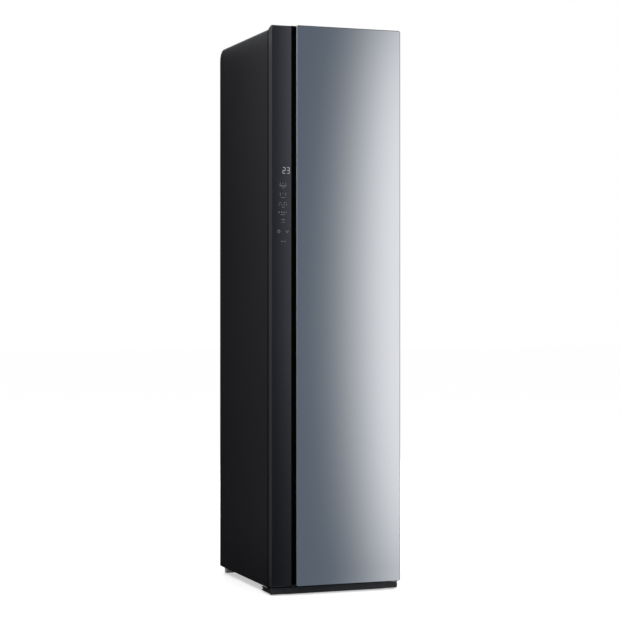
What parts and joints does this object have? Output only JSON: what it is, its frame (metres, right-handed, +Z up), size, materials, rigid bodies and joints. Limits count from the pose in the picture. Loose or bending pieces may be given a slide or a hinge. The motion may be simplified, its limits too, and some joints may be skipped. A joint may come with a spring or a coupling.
{
  "type": "clothes care steam cabinet",
  "caption": "Slim tall floor-standing steam cabinet for clothes: mirror-fronted hinged door with a dark control strip, hanging space with moving hanger, water tanks below",
  "frame": {"origin": "on the floor, under the middle of the cabinet and its door", "axes": "+X to the right seen from the front, +Y to the back, +Z up; the door faces -Y"},
  "size_m": [0.445, 0.585, 1.85],
  "materials": {
    "casing_black": "satin",
    "strip_glass_black": "gloss",
    "mirror": "polished",
    "groove_black": "matte",
    "trim_black": "satin",
    "door_steel": "satin",
    "liner_grey": "satin",
    "liner_dark": "satin",
    "gasket_rubber": "matte",
    "felt": "matte",
    "zinc_steel": "satin",
    "hinge_steel": "satin",
    "motor_steel": "satin",
    "compressor_black": "satin",
    "belt_rubber": "matte",
    "mount_rubber": "matte",
    "hose_silicone": "satin",
    "pulley_white": "satin",
    "bar_chrome": "polished",
    "duct_grey": "matte",
    "fin_aluminium": "satin",
    "pipe_copper": "satin",
    "tank_smoke": "gloss",
    "cap_blue": "satin",
    "cap_grey": "satin",
    "lens_white": "satin",
    "foot_grey": "matte",
    "foot_black": "matte",
    "board_green": "satin",
    "bush_white": "satin",
    "press_grey": "satin",
    "screw_steel": "satin"
  },
  "bodies": {
    "cabinet": {"left_side_panel": "casing_black", "right_side_panel": "casing_black", "top_cover": "casing_black", "rear_cover": "casing_black", "cord_gland": "trim_black", "cabinet_screws": "screw_steel", "base_frame": "zinc_steel", "rear_feet": "foot_grey", "plinth_cover": "trim_black", "front_frame": "casing_black", "insulation": "felt", "inner_liner": "liner_grey", "compartment_floor": "liner_grey", "air_grille": "liner_dark", "steam_nozzle": "liner_dark", "ceiling_cover": "liner_grey", "lamp_lens": "lens_white", "drive_frame": "zinc_steel", "drive_belt": "belt_rubber", "drive_motor": "motor_steel", "tank_bay": "liner_dark", "air_duct": "duct_grey", "evaporator": "fin_aluminium", "condenser": "fin_aluminium", "blower_housing": "duct_grey", "blower_motor": "motor_steel", "compressor": "compressor_black", "compressor_mounts": "mount_rubber", "refrigerant_pipes": "pipe_copper", "steam_generator": "fin_aluminium", "water_pump": "motor_steel", "water_hose": "hose_silicone", "control_box": "duct_grey", "upper_hinge": "hinge_steel", "lower_hinge": "hinge_steel"},
    "door": {"door_frame": "door_steel", "grip_channel": "groove_black", "door_top_cap": "trim_black", "door_bottom_cap": "trim_black", "mirror_glass": "mirror", "control_strip": "strip_glass_black", "display_module": "board_green", "door_inner_liner": "liner_grey", "door_gasket": "gasket_rubber", "press_board": "press_grey", "hinge_bushes": "bush_white"},
    "press_cover": {"press_plate": "press_grey"},
    "hanger": {"hanger_bar": "bar_chrome"},
    "crank": {"crank_pulley": "pulley_white"},
    "motor_pulley": {"drive_pulley": "pulley_white"},
    "blower": {"blower_wheel": "duct_grey"},
    "filter": {"lint_filter": "liner_dark"},
    "aroma": {"aroma_cassette": "cap_blue"},
    "shelf": {"garment_shelf": "liner_dark"},
    "supply_tank_body": {"supply_tank": "tank_smoke"},
    "supply_cap": {"supply_tank_cap": "cap_blue"},
    "drain_tank_body": {"drain_tank": "tank_smoke"},
    "drain_cap": {"drain_tank_cap": "cap_grey"},
    "foot_left": {"front_foot_left": "foot_black"},
    "foot_right": {"front_foot_right": "foot_black"}
  },
  "joints": [
    {"name": "door_hinge", "type": "hinge", "parent": "cabinet", "child": "door", "pos_m": [0.205, -0.262, 0.9], "axis": [0, 0, 1], "range_deg": [0, 110]},
    {"name": "press_hinge", "type": "hinge", "parent": "door", "child": "press_cover", "pos_m": [0.155, -0.2321, 1.08], "axis": [0, 0, -1], "range_deg": [0, 90]},
    {"name": "hanger_slide", "type": "slide", "parent": "cabinet", "child": "hanger", "axis": [1, 0, 0], "range_m": [-0.02, 0.02]},
    {"name": "crank_spin", "type": "hinge", "parent": "cabinet", "child": "crank", "pos_m": [0, 0, 1.809], "axis": [0, 0, 1], "continuous": true},
    {"name": "motor_pulley_spin", "type": "hinge", "parent": "cabinet", "child": "motor_pulley", "pos_m": [0, 0.12, 1.809], "axis": [0, 0, 1], "continuous": true},
    {"name": "blower_spin", "type": "hinge", "parent": "cabinet", "child": "blower", "pos_m": [-0.07, 0.172, 0.29], "axis": [0, 1, 0], "continuous": true},
    {"name": "filter_lift", "type": "slide", "parent": "cabinet", "child": "filter", "axis": [0, 0, 1], "range_m": [0, 0.09]},
    {"name": "aroma_lift", "type": "slide", "parent": "cabinet", "child": "aroma", "axis": [0, 0, 1], "range_m": [0, 0.06]},
    {"name": "shelf_lift", "type": "slide", "parent": "cabinet", "child": "shelf", "axis": [0, 0, 1], "range_m": [0, 0.03]},
    {"name": "supply_tank_slide", "type": "slide", "parent": "cabinet", "child": "supply_tank_body", "axis": [0, -1, 0], "range_m": [0, 0.03]},
    {"name": "supply_cap_turn", "type": "hinge", "parent": "supply_tank_body", "child": "supply_cap", "pos_m": [-0.09025, -0.1139, 0.388], "axis": [0, 0, 1], "range_deg": [0, 90]},
    {"name": "drain_tank_slide", "type": "slide", "parent": "cabinet", "child": "drain_tank_body", "axis": [0, -1, 0], "range_m": [0, 0.03]},
    {"name": "drain_cap_turn", "type": "hinge", "parent": "drain_tank_body", "child": "drain_cap", "pos_m": [0.09025, -0.1139, 0.388], "axis": [0, 0, 1], "range_deg": [0, 90]},
    {"name": "front_foot_left_turn", "type": "hinge", "parent": "cabinet", "child": "foot_left", "pos_m": [-0.19, -0.165, 0.01], "axis": [0, 0, 1], "continuous": true},
    {"name": "front_foot_right_turn", "type": "hinge", "parent": "cabinet", "child": "foot_right", "pos_m": [0.19, -0.165, 0.01], "axis": [0, 0, 1], "continuous": true}
  ],
  "couplings": [
    {"joint": "motor_pulley_spin", "follows": "crank_spin", "ratio": 4}
  ]
}
